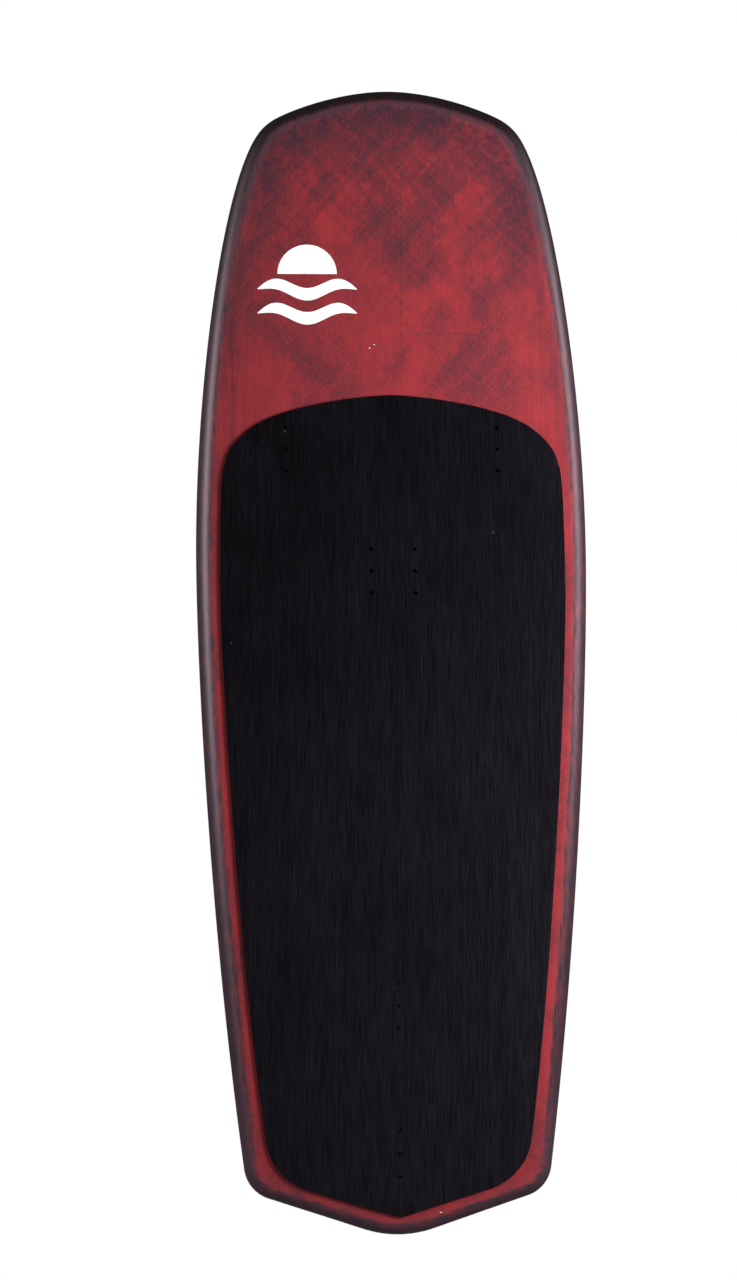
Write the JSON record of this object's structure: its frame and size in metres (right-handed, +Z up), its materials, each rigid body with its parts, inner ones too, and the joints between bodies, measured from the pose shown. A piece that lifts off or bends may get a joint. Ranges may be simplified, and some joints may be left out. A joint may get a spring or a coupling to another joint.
{
  "type": "kiteboard",
  "caption": "Foil kiteboard with a rounded nose and pointed tail, a carbon laminate over foam, a grooved deck pad, strap inserts and bottom tracks with sliding nuts for a foil.",
  "frame": {"origin": "on the flat of the bottom, on the centreline, halfway between nose and tail", "axes": "+X to starboard, +Y to the nose, +Z up through the deck"},
  "size_m": [0.446, 1.3, 0.0542],
  "materials": {
    "tinted_carbon": "satin",
    "dark_carbon": "satin",
    "eva_pad": "matte",
    "core_foam": "matte",
    "dense_foam": "matte",
    "insert_steel": "satin",
    "track_plastic": "satin",
    "nut_steel": "satin",
    "print_white": "satin"
  },
  "bodies": {
    "board": {"deck_skin": "tinted_carbon", "bottom_skin": "dark_carbon", "foam_core": "core_foam", "deck_sheet": "dense_foam", "deck_pad": "eva_pad", "decal_sun": "print_white", "decal_wave_upper": "print_white", "decal_wave_lower": "print_white", "insert_front_port_1": "insert_steel", "insert_front_port_2": "insert_steel", "insert_front_port_3": "insert_steel", "insert_front_starboard_1": "insert_steel", "insert_front_starboard_2": "insert_steel", "insert_front_starboard_3": "insert_steel", "insert_mid_port_1": "insert_steel", "insert_mid_port_2": "insert_steel", "insert_mid_port_3": "insert_steel", "insert_mid_starboard_1": "insert_steel", "insert_mid_starboard_2": "insert_steel", "insert_mid_starboard_3": "insert_steel", "insert_rear_1": "insert_steel", "insert_rear_2": "insert_steel", "insert_rear_3": "insert_steel", "insert_tail_1": "insert_steel", "insert_tail_2": "insert_steel", "insert_tail_3": "insert_steel", "front_port_block": "dense_foam", "front_starboard_block": "dense_foam", "mid_block": "dense_foam", "tail_block": "dense_foam", "track_block": "dense_foam", "track_port": "track_plastic", "track_starboard": "track_plastic"},
    "nut_port_front": {"nut_port_front": "nut_steel"},
    "nut_port_rear": {"nut_port_rear": "nut_steel"},
    "nut_starboard_front": {"nut_starboard_front": "nut_steel"},
    "nut_starboard_rear": {"nut_starboard_rear": "nut_steel"}
  },
  "joints": [
    {"name": "nut_port_front_slide", "type": "slide", "parent": "board", "child": "nut_port_front", "axis": [0, 1, 0], "range_m": [-0.0525, 0.0275]},
    {"name": "nut_port_rear_slide", "type": "slide", "parent": "board", "child": "nut_port_rear", "axis": [0, 1, 0], "range_m": [-0.0275, 0.0525]},
    {"name": "nut_starboard_front_slide", "type": "slide", "parent": "board", "child": "nut_starboard_front", "axis": [0, 1, 0], "range_m": [-0.0525, 0.0275]},
    {"name": "nut_starboard_rear_slide", "type": "slide", "parent": "board", "child": "nut_starboard_rear", "axis": [0, 1, 0], "range_m": [-0.0275, 0.0525]}
  ]
}
